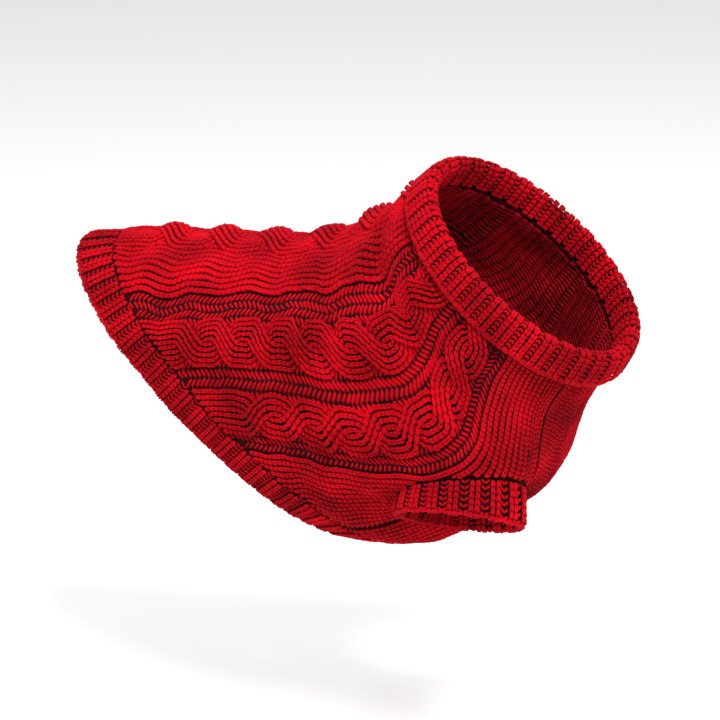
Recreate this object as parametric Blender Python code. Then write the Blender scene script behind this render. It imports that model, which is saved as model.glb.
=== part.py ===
"""Dog sweater in chunky cable knit, in the form it has when it is worn.

Six knitted pieces, each a wall of cloth: the back panel that comes down both sides, the belly panel
under the chest, a turtleneck collar folded over to the outside, a ribbed hem round the slanted rear
opening, and a ribbed cuff round each leg hole. The pieces are hollow and open at neck, hem and cuffs.

Frame: +X is the wearer's forward, +Y the wearer's left, +Z up. The origin is on the inner face of the
back, at the withers just behind the collar, where the wearer holds the sweater up.

Every point of the body is named by two numbers: around, the share of the way round a section from the
spine (0) over the right side to the underside (0.5) and back over the left side (1), and along, the
share of the way from the tail (0) to the neck (1).
"""
import math

import bpy
import numpy as np
from mathutils import Vector
from mathutils.geometry import delaunay_2d_cdt

MM = 0.001

# ---------------------------------------------------------------- driving sizes
WALL = 3.0 * MM               # thickness of the knitted panels
RIB_WALL = 3.4 * MM           # thickness of the ribbed hem and cuffs
SEAM_GAP = 0.3 * MM           # clear space between neighbouring pieces
PANEL_CELL = 9.5 * MM         # length of a facet on the panels
EDGE_CLEARANCE = 0.62         # inner points of a panel keep this many facets away from its outline
HEM_STEPS = 72                # facets round the hem
NECK_STEPS = 60               # facets round the collar
LEG_STEPS = 36                # facets round a cuff

# Sections of the worn tube from tail to neck, in millimetres and degrees. A section is a ring from its
# point on the back (top) to its point on the underside (bottom). Upper moves its widest place up,
# roundness 2 is an ellipse and more is squarer, and turn swings it to the right about the withers.
SECTION_COLUMNS = ("place", "along", "top_x", "top_z", "bottom_x", "bottom_z",
                   "half_width", "upper", "roundness", "turn")
SECTIONS = (
    ("tail",   0.00, -200, -28, -200, -175, 63, 0.08, 2.10, 0),
    ("loin",   0.18, -150, -24, -150, -177, 68, 0.07, 2.10, 0),
    ("waist",  0.36, -100, -23,  -98, -179, 72, 0.06, 2.10, 0),
    ("girth",  0.54,  -55, -21,  -44, -180, 75, 0.07, 2.15, 0),
    ("elbow",  0.72,  -26, -12,   26, -177, 76, 0.10, 2.12, 3),
    ("breast", 0.86,   -4,   1,   84, -139, 71, 0.09, 2.05, 8),
    ("throat", 0.95,    9,  11,  103,  -97, 63, 0.02, 2.02, 13),
    ("neck",   1.00,   17,  16,  120,  -73, 57, 0.00, 2.00, 15),
)
TURN_CENTRE_X = 10.0 * MM     # the turned sections swing about this upright line
CHART_GIRTH = 520.0 * MM      # nominal size of around 0 to 1
CHART_LENGTH = 330.0 * MM     # nominal size of along 0 to 1

# Hem: a slanted plane through a point on the back and a point on the underside
HEM_TOP = (-182.0 * MM, -29.0 * MM)
HEM_BOTTOM = (-28.0 * MM, -181.0 * MM)
HEM_WIDTH = 16.0 * MM         # between the planes of the free edge and of the seam

# Side seam between back panel and belly panel: around at places along
SEAM_COLUMNS = ("along", "around")
SEAM = ((0.00, 0.350), (0.50, 0.356), (0.65, 0.375), (0.74, 0.402), (0.85, 0.424), (1.00, 0.415))

# Leg holes and cuffs. The left ring is the right one's mirror image, a little further back.
RIGHT = 1.0
LEFT = -1.0
LEG_CENTRE = (46.0 * MM, -46.0 * MM, -138.0 * MM)
LEFT_LEG_BACK = 13.0 * MM
LEG_RADIUS_ALONG = 34.0 * MM
LEG_RADIUS_ACROSS = 28.0 * MM
LEG_TILT = 25.0               # degrees that the outer side stands higher than the inner side
LEG_FRONT_RISE = 6.0 * MM     # the front of the ring is this much higher than its middle
LEG_DIP = 8.0 * MM            # the ring sags this much behind the leg, on the inner side
LEG_DIP_ANGLE = 215.0         # degrees round the ring from its front over its outer side
LEG_REACH_OUTER = 42.0 * MM   # the panels swell out to the leg hole over this distance
LEG_REACH_INNER = 26.0 * MM
CUFF_HEIGHT = 16.5 * MM
CUFF_SPLAY = 0.25             # the cuff runs outward by this share of its drop
CUFF_FLARE = 1.5 * MM         # the free edge is this much wider than the seam

# Collar, folded once to the outside
COLLAR_HEIGHT = 16.5 * MM     # from the neck seam to the fold
COLLAR_OVERLAP = 2.5 * MM     # the free edge hangs this far below the seam
COLLAR_WALL = 2.8 * MM
COLLAR_AIR = 0.8 * MM         # between the two layers
COLLAR_FLARE = 2.5 * MM       # the free edge stands this far off

RED = (0.36, 0.008, 0.014, 1.0)
DEEP_RED = (0.30, 0.006, 0.012, 1.0)
KNIT_ROUGHNESS = 0.9


# Fineness of the working tables from which the meshes are made
TUBE_ROWS = 121
TUBE_COLUMNS = 241
RING_ANGLES = 361
HEM_PLACES = 241
HEM_ANGLES = 181
HOLE_ANGLES = 73
HOLE_SEARCH_AROUND = (0.2, 0.5, 121)
HOLE_SEARCH_ALONG = (0.5, 1.0, 161)
HOLE_SMOOTHINGS = 8
CROSSING_ANGLES = 1441
NORMAL_REACH = 3.0 * MM       # a normal is taken over this distance to each side
NECK_REACH = 0.01             # the slope at the neck is taken over this share of along


# ---------------------------------------------------------------- curves through tables
def column(rows, columns, name):
    """One named column of a table as an array."""
    place = columns.index(name)
    return np.array([row[place] for row in rows], float)


def smooth_curve(keys, values, at):
    """Cubic curve through the values at the keys, read at the given places."""
    slopes = np.gradient(values, keys)
    at = np.asarray(at, float)
    low = np.clip(np.searchsorted(keys, at, side="right") - 1, 0, len(keys) - 2)
    span = keys[low + 1] - keys[low]
    part = (at - keys[low]) / span
    square = part * part
    cube = square * part
    start = (2 * cube - 3 * square + 1) * values[low]
    start_slope = (cube - 2 * square + part) * span * slopes[low]
    end = (3 * square - 2 * cube) * values[low + 1]
    end_slope = (cube - square) * span * slopes[low + 1]
    return start + start_slope + end + end_slope


def seam_around(along):
    """Where the side seam lies, as a share of the way round."""
    return smooth_curve(column(SEAM, SEAM_COLUMNS, "along"), column(SEAM, SEAM_COLUMNS, "around"), along)


def unit(vectors):
    return vectors / np.linalg.norm(vectors, axis=-1, keepdims=True)


# ---------------------------------------------------------------- the worn tube
def section_ring(along):
    """One section as TUBE_COLUMNS points, spaced evenly round it from the spine over the right side."""
    keys = column(SECTIONS, SECTION_COLUMNS, "along")
    size = {}
    for name in SECTION_COLUMNS[2:]:
        size[name] = float(smooth_curve(keys, column(SECTIONS, SECTION_COLUMNS, name), along))
    angle = np.linspace(0.0, 2.0 * math.pi, RING_ANGLES)
    power = 2.0 / size["roundness"]
    upward = np.sign(np.cos(angle)) * np.abs(np.cos(angle)) ** power
    sideways = np.sign(np.sin(angle)) * np.abs(np.sin(angle)) ** power
    top = np.array((size["top_x"], size["top_z"])) * MM
    bottom = np.array((size["bottom_x"], size["bottom_z"])) * MM
    middle = (top + bottom) / 2.0
    half = (top - bottom) / 2.0
    x = middle[0] + half[0] * upward - TURN_CENTRE_X
    y = -size["half_width"] * MM * sideways * (1.0 + size["upper"] * upward)
    z = middle[1] + half[1] * upward
    turn = -math.radians(size["turn"])
    ring = np.stack((TURN_CENTRE_X + x * math.cos(turn) - y * math.sin(turn),
                     x * math.sin(turn) + y * math.cos(turn), z), axis=1)
    steps = np.linalg.norm(np.diff(ring, axis=0), axis=1)
    travelled = np.concatenate(((0.0,), np.cumsum(steps))) / steps.sum()
    even = np.linspace(0.0, 1.0, TUBE_COLUMNS)
    return np.stack([np.interp(even, travelled, ring[:, axis]) for axis in range(3)], axis=1)


TUBE = np.array([section_ring(along) for along in np.linspace(0.0, 1.0, TUBE_ROWS)])


def tube_point(around, along):
    """Outer face of the tube before the leg holes shape it."""
    around, along = np.broadcast_arrays(np.asarray(around, float) % 1.0, np.asarray(along, float))
    row = np.clip(along, 0.0, 1.0) * (TUBE_ROWS - 1)
    step = around * (TUBE_COLUMNS - 1)
    low_row = np.clip(row.astype(int), 0, TUBE_ROWS - 2)
    low_step = np.clip(step.astype(int), 0, TUBE_COLUMNS - 2)
    row_part = (row - low_row)[..., None]
    step_part = (step - low_step)[..., None]
    rear = TUBE[low_row, low_step] * (1 - step_part) + TUBE[low_row, low_step + 1] * step_part
    front = TUBE[low_row + 1, low_step] * (1 - step_part) + TUBE[low_row + 1, low_step + 1] * step_part
    return rear * (1 - row_part) + front * row_part


# ---------------------------------------------------------------- leg holes
def leg_ring(side, angle, drop=0.0, widen=0.0):
    """Leg ring: angle 0 is its front, a quarter turn its outer side; drop runs down the cuff."""
    forward = np.cos(angle)
    outward = np.sin(angle)
    tilt = math.radians(LEG_TILT)
    reach = (LEG_RADIUS_ACROSS + widen) * outward
    sag = np.maximum(0.0, np.cos(angle - math.radians(LEG_DIP_ANGLE))) ** 2
    shape = LEG_FRONT_RISE * forward - LEG_DIP * sag
    back = 0.0 if side == RIGHT else LEFT_LEG_BACK
    fade = 1.0 - drop / CUFF_HEIGHT
    x = LEG_CENTRE[0] - back + (LEG_RADIUS_ALONG + widen) * forward
    y = LEG_CENTRE[1] - reach * math.cos(tilt) - CUFF_SPLAY * drop
    z = LEG_CENTRE[2] + reach * math.sin(tilt) + shape * fade - drop
    return np.stack((x, side * y, z), axis=-1)


class LegHole:
    """A leg hole's edge on the tube, counting around over its own side from the spine.

    For even angles of the ring it takes the nearest place on the tube, smoothed, and keeps the hole's
    middle and, for each ring angle, the bearing and distance from there.
    """

    def __init__(self, side):
        angle = np.linspace(-math.pi, math.pi, HOLE_ANGLES)[:-1]
        around, along = np.meshgrid(np.linspace(*HOLE_SEARCH_AROUND), np.linspace(*HOLE_SEARCH_ALONG))
        surface = tube_point(side * around, along)
        places = []
        for point in leg_ring(side, angle):
            nearest = np.argmin(((surface - point) ** 2).sum(axis=-1))
            places.append((around.flat[nearest], along.flat[nearest]))
        places = np.array(places)
        for _ in range(HOLE_SMOOTHINGS):
            places = 0.5 * places + 0.25 * (np.roll(places, 1, axis=0) + np.roll(places, -1, axis=0))
        self.middle = places.mean(axis=0)
        forward = (places[:, 1] - self.middle[1]) * CHART_LENGTH
        upward = -(places[:, 0] - self.middle[0]) * CHART_GIRTH
        bearing = np.unwrap(np.arctan2(upward, forward))
        distance = np.hypot(forward, upward)
        self.bearing = np.append(bearing, bearing[0] + 2.0 * math.pi)
        self.distance = np.append(distance, distance[0])
        self.angle = np.append(angle, angle[0] + 2.0 * math.pi)

    def polar(self, around, along):
        """Distance from the middle, the hole's own radius that way, ring angle and bearing."""
        forward = (np.asarray(along, float) - self.middle[1]) * CHART_LENGTH
        upward = -(np.asarray(around, float) - self.middle[0]) * CHART_GIRTH
        first = self.bearing[0]
        bearing = (np.arctan2(upward, forward) - first) % (2.0 * math.pi) + first
        radius = np.interp(bearing, self.bearing, self.distance)
        angle = np.interp(bearing, self.bearing, self.angle)
        return np.hypot(forward, upward), radius, angle, bearing

    def place(self, bearing, radius):
        """Around and along of the point at a bearing and distance from the middle."""
        around = self.middle[0] - radius * np.sin(bearing) / CHART_GIRTH
        along = self.middle[1] + radius * np.cos(bearing) / CHART_LENGTH
        return around, along

    def edge_place(self, angle):
        """Around and along of the hole's edge at ring angles."""
        wrapped = (angle - self.angle[0]) % (2.0 * math.pi) + self.angle[0]
        bearing = np.interp(wrapped, self.angle, self.bearing)
        radius = np.interp(wrapped, self.angle, self.distance)
        return self.place(bearing, radius)

    def crossings(self):
        """Ring angles at which the side seam meets the hole: at its front, then at its rear."""
        angle = np.linspace(self.angle[0], self.angle[-1], CROSSING_ANGLES)
        around, along = self.edge_place(angle)
        above = around < seam_around(along)
        front = float(angle[1:][above[1:] & ~above[:-1]][0])
        rear = float(angle[1:][~above[1:] & above[:-1]][0])
        return front, rear + (2.0 * math.pi if rear < front else 0.0)

    def arc(self, start, end):
        """Places along the edge between two ring angles, at the cuff's own steps between them."""
        shift = SEAM_GAP / LEG_RADIUS_ALONG
        step = 2.0 * math.pi / LEG_STEPS
        inside = step * np.arange(math.ceil((start + 2.0 * shift) / step), (end - 2.0 * shift) // step + 1)
        angle = np.concatenate(((start + shift,), inside, (end - shift,)))
        return np.stack(self.edge_place(angle), axis=1)


LEG_HOLES = {side: LegHole(side) for side in (RIGHT, LEFT)}


def body_point(around, along):
    """Outer face of the worn body: the tube, swollen out to each leg ring."""
    around = np.asarray(around, float) % 1.0
    point = tube_point(around, along)
    for side, hole in LEG_HOLES.items():
        near = around if side == RIGHT else 1.0 - around
        distance, radius, angle, bearing = hole.polar(near, along)
        edge_around, edge_along = hole.place(bearing, radius)
        edge = tube_point(side * edge_around, edge_along)
        outerness = 0.5 + 0.5 * np.sin(bearing)
        reach = LEG_REACH_INNER + (LEG_REACH_OUTER - LEG_REACH_INNER) * outerness
        away = np.clip((distance - radius) / reach, 0.0, 1.0)
        weight = (1.0 - away) ** 2 * (1.0 + 2.0 * away)
        point = point + (leg_ring(side, angle) - edge) * weight[..., None]
    return point


def body_normal(around, along):
    """Direction straight out of the outer face."""
    step_around = NORMAL_REACH / CHART_GIRTH
    step_along = NORMAL_REACH / CHART_LENGTH
    ahead = np.minimum(np.asarray(along, float) + step_along, 1.0)
    around = np.asarray(around, float)
    across = body_point(around + step_around, along) - body_point(around - step_around, along)
    forward = body_point(around, ahead) - body_point(around, ahead - 2.0 * step_along)
    return unit(np.cross(across, forward))


# ---------------------------------------------------------------- hem
def hem_along(around, forward=0.0):
    """Where a line along the body crosses the hem plane, moved forward by the given distance."""
    top = np.array(HEM_TOP)
    slant = unit(np.array(HEM_BOTTOM) - top)
    facing = np.array((-slant[1], slant[0]))
    places = np.linspace(0.0, 1.0, HEM_PLACES)
    grid_around, grid_along = np.meshgrid(np.atleast_1d(around), places, indexing="ij")
    points = body_point(grid_around, grid_along)
    ahead = (points[..., 0] - top[0]) * facing[0] + (points[..., 2] - top[1]) * facing[1] - forward
    first = np.argmax(ahead > 0.0, axis=1)
    rows = np.arange(len(first))
    before = ahead[rows, first - 1]
    after = ahead[rows, first]
    return places[first - 1] + (places[first] - places[first - 1]) * before / (before - after)


def hem_steps():
    """Around of the hem's facets over one side, from spine to underside, evenly spaced along the edge."""
    around = np.linspace(0.0, 0.5, HEM_ANGLES)
    points = body_point(around, hem_along(around, 0.5 * HEM_WIDTH))
    travelled = np.concatenate(((0.0,), np.cumsum(np.linalg.norm(np.diff(points, axis=0), axis=1))))
    return np.interp(np.linspace(0.0, travelled[-1], HEM_STEPS // 2 + 1), travelled, around)


# ---------------------------------------------------------------- meshes
def material(name, colour):
    """Matt knitted yarn in one colour."""
    made = bpy.data.materials.new(name)
    made.use_nodes = True
    shader = made.node_tree.nodes["Principled BSDF"]
    shader.inputs["Base Color"].default_value = colour
    shader.inputs["Roughness"].default_value = KNIT_ROUGHNESS
    shader.inputs["Metallic"].default_value = 0.0
    return made


def add_object(name, points, faces, colour, collection):
    """One named piece with its own material, in the sweater's collection."""
    mesh = bpy.data.meshes.new(name)
    mesh.from_pydata([tuple(point) for point in points], [], faces)
    mesh.validate()
    mesh.shade_smooth()
    mesh.materials.append(material(name + "_knit", colour))
    piece = bpy.data.objects.new(name, mesh)
    collection.objects.link(piece)
    return piece


def spaced(start, end, length, cell):
    """Even steps from start to end that divide the length into cells."""
    return np.linspace(start, end, max(2, int(round(length / cell)) + 1))


def panel_wall(name, outline, colour, collection):
    """A wall of cloth over the region of the body inside the outline of (around, along) places."""
    chart = outline * np.array((CHART_GIRTH, CHART_LENGTH))
    low = chart.min(axis=0)
    high = chart.max(axis=0)
    counts = np.ceil((high - low) / PANEL_CELL).astype(int)
    grid_x, grid_y = np.meshgrid(np.linspace(low[0], high[0], counts[0] + 1),
                                 np.linspace(low[1], high[1], counts[1] + 1))
    grid = np.stack((grid_x.ravel(), grid_y.ravel()), axis=1)
    distance = np.array([np.linalg.norm(chart - point, axis=1).min() for point in grid])
    clear = distance > EDGE_CLEARANCE * PANEL_CELL
    edge_count = len(chart)
    points = [Vector(point) for point in chart] + [Vector(point) for point in grid[clear]]
    edges = [(place, (place + 1) % edge_count) for place in range(edge_count)]
    flat, _, triangles, _, _, _ = delaunay_2d_cdt(points, edges, [], 1, 1e-7)
    flat = np.array([tuple(point) for point in flat]) / np.array((CHART_GIRTH, CHART_LENGTH))
    outer = body_point(flat[:, 0], flat[:, 1])
    normal = body_normal(flat[:, 0], flat[:, 1])
    inner = outer - normal * WALL
    wound = []
    for first, second, third in triangles:
        facing = np.cross(outer[second] - outer[first], outer[third] - outer[first])
        same_way = float(facing @ normal[first]) > 0.0
        wound.append((first, second, third) if same_way else (first, third, second))
    return add_object(name, np.concatenate((outer, inner)), close_wall(wound, len(outer)), colour, collection)


def close_wall(triangles, inner_start):
    """Outer faces, the same faces turned over on the inner layer, and a strip round every free edge."""
    faces = list(triangles)
    faces += [tuple(inner_start + place for place in reversed(face)) for face in triangles]
    directed = set()
    for face in triangles:
        for place, corner in enumerate(face):
            directed.add((corner, face[(place + 1) % 3]))
    for start, end in sorted(directed):
        if (end, start) not in directed:
            faces.append((end, start, inner_start + start, inner_start + end))
    return faces


def ring_wall(name, rings, colour, collection):
    """A closed band: rings[i] is the i-th point of its cross-section, carried all the way round.

    The cross-section runs from the outer face's front edge to its rear edge and back inside.
    """
    rows, steps = rings.shape[:2]
    faces = []
    for row in range(rows):
        next_row = (row + 1) % rows
        for step in range(steps):
            next_step = (step + 1) % steps
            faces.append((row * steps + step, next_row * steps + step,
                          next_row * steps + next_step, row * steps + next_step))
    points = rings.reshape(-1, 3)
    if signed_volume(points, faces) < 0.0:
        faces = [tuple(reversed(face)) for face in faces]
    return add_object(name, points, faces, colour, collection)


def signed_volume(points, faces):
    """Volume inside quadrilateral faces, positive where they face out."""
    corners = points[np.array(faces)]
    first = np.einsum("ij,ij->i", corners[:, 0], np.cross(corners[:, 1], corners[:, 2]))
    second = np.einsum("ij,ij->i", corners[:, 0], np.cross(corners[:, 2], corners[:, 3]))
    return (first.sum() + second.sum()) / 6.0


# ---------------------------------------------------------------- outlines of the panels
def seam_run(start_along, end_along, offset):
    """Places along the right side seam, offset round the body by half the gap."""
    along = spaced(start_along, end_along, abs(end_along - start_along) * CHART_LENGTH, PANEL_CELL)
    return np.stack((seam_around(along) + offset, along), axis=1)


def hem_run(middle, side, offset):
    """Places along the hem seam, a gap ahead of it, from the panel's middle to the side seam."""
    forward = HEM_WIDTH + SEAM_GAP
    corner = float(seam_around(0.5)) + offset
    for _ in range(4):
        corner_along = float(hem_along(side * corner, forward)[0])
        corner = float(seam_around(corner_along)) + offset
    steps = hem_steps()
    spare = 1.0 * MM / CHART_GIRTH
    inside = steps[steps < corner - spare] if middle < corner else steps[steps > corner + spare][::-1]
    around = np.append(inside, corner)
    return np.stack((around, hem_along(side * around, forward)), axis=1)


def half_outline(is_back, side):
    """One half of a panel's outline, from the middle of its hem seam round to its neck middle.

    Around is counted over the half's own side, so that the two halves have the same form.
    """
    hole = LEG_HOLES[side]
    front, rear = hole.crossings()
    offset = -SEAM_GAP / CHART_GIRTH if is_back else SEAM_GAP / CHART_GIRTH
    middle = 0.0 if is_back else 0.5
    hem = hem_run(middle, side, offset)
    leg = hole.arc(front, rear)[::-1] if is_back else hole.arc(rear, front + 2.0 * math.pi)
    rear_run = seam_run(hem[-1, 1], leg[0, 1], offset)
    front_run = seam_run(leg[-1, 1], 1.0, offset)
    neck_end = front_run[-1, 0]
    steps = np.arange(NECK_STEPS // 2 + 1) / NECK_STEPS
    inside = steps[steps < neck_end - 1e-3][::-1] if is_back else steps[steps > neck_end + 1e-3]
    neck = np.stack((inside, np.ones_like(inside)), axis=1)
    return np.concatenate((hem, rear_run[1:-1], leg, front_run[1:], neck))


def whole_outline(is_back):
    """Right half and left half of a panel's outline, as one loop of (around, along) places."""
    right = half_outline(is_back, RIGHT)
    left = half_outline(is_back, LEFT)[::-1]
    left[:, 0] = -left[:, 0] if is_back else 1.0 - left[:, 0]
    return np.concatenate((right, left[1:-1]))


# ---------------------------------------------------------------- pieces
def make_back_panel(collection):
    """Cable-knit back that comes down both sides to the side seams and the leg holes."""
    return panel_wall("back_panel", whole_outline(True), RED, collection)


def make_belly_panel(collection):
    """Plain-knit panel under the chest, from the collar between the legs to the hem."""
    return panel_wall("belly_panel", whole_outline(False), DEEP_RED, collection)


def make_hem_band(collection):
    """Ribbed loop round the slanted rear opening, rounded at its free edge."""
    half = hem_steps()
    around = np.concatenate((half, 1.0 - half[-2:0:-1]))
    edge = hem_along(around)
    seam = hem_along(around, HEM_WIDTH)
    section = ((1.0, 0.0), (0.5, 0.2), (0.08, 0.1), (0.0, -0.45), (0.08, -1.0), (0.5, -1.0), (1.0, -1.0))
    rings = []
    for share, depth in section:
        along = edge + (seam - edge) * share
        wall = WALL if share == 1.0 else RIB_WALL
        rings.append(body_point(around, along) + body_normal(around, along) * depth * wall)
    return ring_wall("hem_band", np.array(rings), RED, collection)


def make_cuff(name, side, collection):
    """Ribbed band hanging from a leg hole, rounded at its free edge."""
    angle = 2.0 * math.pi * np.arange(LEG_STEPS) / LEG_STEPS
    section = ((0.0, 0.0), (0.45, 0.2 * RIB_WALL), (0.92, 0.1 * RIB_WALL), (1.0, -0.4 * RIB_WALL),
               (0.92, -0.9 * RIB_WALL), (0.45, -0.8 * RIB_WALL), (0.0, -WALL))
    rings = []
    for share, outward in section:
        drop = SEAM_GAP + share * (CUFF_HEIGHT - SEAM_GAP)
        rings.append(leg_ring(side, angle, drop, outward + share * CUFF_FLARE))
    return ring_wall(name, np.array(rings), RED, collection)


def neck_axis():
    """Direction in which the neck points, square to the neck seam."""
    spine, right, throat, left = body_point(np.array((0.0, 0.25, 0.5, 0.75)), np.ones(4))
    axis = unit(np.cross(throat - spine, right - left))
    return axis if axis[2] > 0.0 else -axis


def below_neck(around, distance):
    """Along of the points this far below the neck seam on the outer face."""
    length = np.linalg.norm(body_point(around, 1.0) - body_point(around, 1.0 - NECK_REACH), axis=-1)
    return 1.0 - NECK_REACH * distance / length


def make_collar(collection):
    """Turtleneck: an inner layer up from the neck seam, a rounded fold, an outer layer back down.

    Its free edge lies over the panels, on their points moved out.
    """
    around = np.arange(NECK_STEPS) / NECK_STEPS
    seam = body_point(around, 1.0)
    seam_inner = seam - body_normal(around, np.ones_like(around)) * WALL
    axis = neck_axis()
    outward = unit(np.cross(unit(np.roll(seam, -1, axis=0) - np.roll(seam, 1, axis=0)), axis))
    if float(outward[0] @ (seam[0] - seam.mean(axis=0))) < 0.0:
        outward = -outward
    wall = COLLAR_WALL
    air = COLLAR_AIR
    height = COLLAR_HEIGHT
    rising = ((0.5 * height, 0.0), (height - wall, 0.0), (height - 0.8 * wall, air))
    falling = ((0.5 * height, air + wall + 0.4 * COLLAR_FLARE), (height - 0.9 * wall, air + 0.95 * wall),
               (height - 0.1 * wall, air + 0.2 * wall), (height - 0.2 * wall, -0.7 * wall),
               (0.5 * height, -wall))
    free_edge = ((0.6, 0.0), (1.0, 0.5 * wall), (0.6, wall))
    rings = [seam + axis * SEAM_GAP]
    rings += [seam + axis * up + outward * out for up, out in rising]
    for share, out in free_edge:
        along = below_neck(around, share * COLLAR_OVERLAP)
        lift = COLLAR_FLARE + out
        rings.append(body_point(around, along) + body_normal(around, along) * lift)
    rings += [seam + axis * up + outward * out for up, out in falling]
    rings.append(seam_inner + axis * SEAM_GAP)
    return ring_wall("collar", np.array(rings), RED, collection)


def main():
    for old in list(bpy.data.objects):
        bpy.data.objects.remove(old, do_unlink=True)
    collection = bpy.data.collections.new("dog_sweater")
    bpy.context.scene.collection.children.link(collection)
    make_back_panel(collection)
    make_belly_panel(collection)
    make_hem_band(collection)
    make_collar(collection)
    make_cuff("cuff_right", RIGHT, collection)
    make_cuff("cuff_left", LEFT, collection)


main()
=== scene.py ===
"""Looks of the worn dog sweater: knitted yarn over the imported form, studio floor, light and camera.

Every loop of yarn is a spindle of mesh laid on the body's surface. Wales run from hem to collar, and
their places come from short tables of bands. Lengths are in metres, and +X is the wearer's forward.
"""
import math
from functools import partial

import bmesh
import bpy
import numpy as np
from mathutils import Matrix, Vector
from mathutils.kdtree import KDTree


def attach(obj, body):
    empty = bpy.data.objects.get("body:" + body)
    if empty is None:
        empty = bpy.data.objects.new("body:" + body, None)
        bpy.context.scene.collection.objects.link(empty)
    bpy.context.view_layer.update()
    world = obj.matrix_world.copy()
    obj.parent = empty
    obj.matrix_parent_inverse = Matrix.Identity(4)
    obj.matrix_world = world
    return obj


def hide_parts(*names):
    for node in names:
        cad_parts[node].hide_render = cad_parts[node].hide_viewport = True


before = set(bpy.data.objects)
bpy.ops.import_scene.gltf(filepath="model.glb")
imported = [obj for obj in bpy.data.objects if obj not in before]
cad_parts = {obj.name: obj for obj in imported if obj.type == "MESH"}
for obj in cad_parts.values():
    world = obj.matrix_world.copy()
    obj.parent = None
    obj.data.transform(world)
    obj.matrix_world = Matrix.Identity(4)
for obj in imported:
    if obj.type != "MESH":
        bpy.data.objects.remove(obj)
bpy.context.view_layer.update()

MM = 0.001

# ---------------------------------------------------------------- sizes of the worn form
WALL = 3.0 * MM
RIB_WALL = 3.4 * MM
SEAM_GAP = 0.3 * MM

SECTION_COLUMNS = ("place", "along", "top_x", "top_z", "bottom_x", "bottom_z",
                   "half_width", "upper", "roundness", "turn")
SECTIONS = (
    ("tail", 0.00, -200, -28, -200, -175, 63, 0.08, 2.10, 0),
    ("loin", 0.18, -150, -24, -150, -177, 68, 0.07, 2.10, 0),
    ("waist", 0.36, -100, -23, -98, -179, 72, 0.06, 2.10, 0),
    ("girth", 0.54, -55, -21, -44, -180, 75, 0.07, 2.15, 0),
    ("elbow", 0.72, -26, -12, 26, -177, 76, 0.10, 2.12, 3),
    ("breast", 0.86, -4, 1, 84, -139, 71, 0.09, 2.05, 8),
    ("throat", 0.95, 9, 11, 103, -97, 63, 0.02, 2.02, 13),
    ("neck", 1.00, 17, 16, 120, -73, 57, 0.00, 2.00, 15),
)
TURN_CENTRE_X = 10.0 * MM
CHART_GIRTH = 520.0 * MM
CHART_LENGTH = 330.0 * MM

HEM_TOP = (-182.0 * MM, -29.0 * MM)
HEM_BOTTOM = (-28.0 * MM, -181.0 * MM)
HEM_WIDTH = 16.0 * MM

SEAM_COLUMNS = ("along", "around")
SEAM = ((0.00, 0.350), (0.50, 0.356), (0.65, 0.375), (0.74, 0.402), (0.85, 0.424), (1.00, 0.415))

RIGHT = 1.0
LEFT = -1.0
LEG_CENTRE = (46.0 * MM, -46.0 * MM, -138.0 * MM)
LEFT_LEG_BACK = 13.0 * MM
LEG_RADIUS_ALONG = 34.0 * MM
LEG_RADIUS_ACROSS = 28.0 * MM
LEG_TILT = 25.0
LEG_FRONT_RISE = 6.0 * MM
LEG_DIP = 8.0 * MM
LEG_DIP_ANGLE = 215.0
LEG_REACH_OUTER = 42.0 * MM
LEG_REACH_INNER = 26.0 * MM
CUFF_HEIGHT = 16.5 * MM
CUFF_SPLAY = 0.25
CUFF_FLARE = 1.5 * MM

COLLAR_HEIGHT = 16.5 * MM
COLLAR_OVERLAP = 2.5 * MM
COLLAR_WALL = 2.8 * MM
COLLAR_AIR = 0.8 * MM
COLLAR_FLARE = 2.5 * MM

# ---------------------------------------------------------------- the knit
ROW = 2.65 * MM               # height of one course of stitches
UNEVEN = 0.07 * MM            # how far stitches stray from their places
PLUMPNESS = (0.90, 1.08)      # least and most of a strand's radius, as a share of what it should be
SEED = 11
SIDES = 6                     # facets round a strand of yarn
RINGS = 2                     # rings of points between a strand's two tips
ROWS_FROM = 0.30              # courses are counted from this place along the body

# Bands of one half of the back: name, kind, start and end counted from the spine (0) to the side seam (1),
# and wales. A gutter runs on under a cable.
BANDS = (
    ("spine_cable", "cable", -0.140, 0.140, 12),
    ("back_wales", "knit", 0.108, 0.315, 9),
    ("upper_gutter", "purl", 0.315, 0.428, 4),
    ("upper_cable", "cable", 0.400, 0.560, 10),
    ("middle_gutter", "purl", 0.527, 0.658, 4),
    ("lower_cable", "cable", 0.625, 0.770, 8),
    ("lower_gutter", "purl", 0.745, 0.820, 3),
    ("side_wales", "knit", 0.820, 0.999, 9),
)
# Cables: name, along of the first crossing, mm from crossing to crossing, and 1 where they cross downward.
# The rest are heights in mm: of a strand's middle, of the strand on top, of the one under it, of a crossing.
CABLES = (
    ("spine_cable", 0.24, 30.0, 1.0, 1.2, 1.5, 0.8, 0.5),
    ("upper_cable", 0.365, 20.9, 1.0, 1.0, 2.2, 0.9, 0.0),
    ("lower_cable", 0.510, 21.7, -1.0, 1.0, 2.2, 0.9, 0.0),
)
CROSSING = 0.37               # half length of one wale's crossing, in cells
CABLE_PINCH = 0.07            # a cable narrows by this share where its strands cross
CROSSING_STAGGER = 0.10       # a strand's outer wales cross this much sooner and later, in cells
CROSSINGS = 14
CABLE_RISE = 0.4              # mm
LEG = np.array((
    (0.03, 0.12, 0.20, 0.25),           # a stitch's leg from its foot to its head, in wale widths
    (-0.42, 0.10, 0.62, 1.12),          # and in courses
    (-1.15, 0.26, 0.40, -0.95),         # and outward, in mm
))
LEG_RADIUS = 0.220            # of a leg, in wale widths
STRAND_RADII = (0.5 * MM, 1.25 * MM)    # the least and the most that a strand may have
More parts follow.
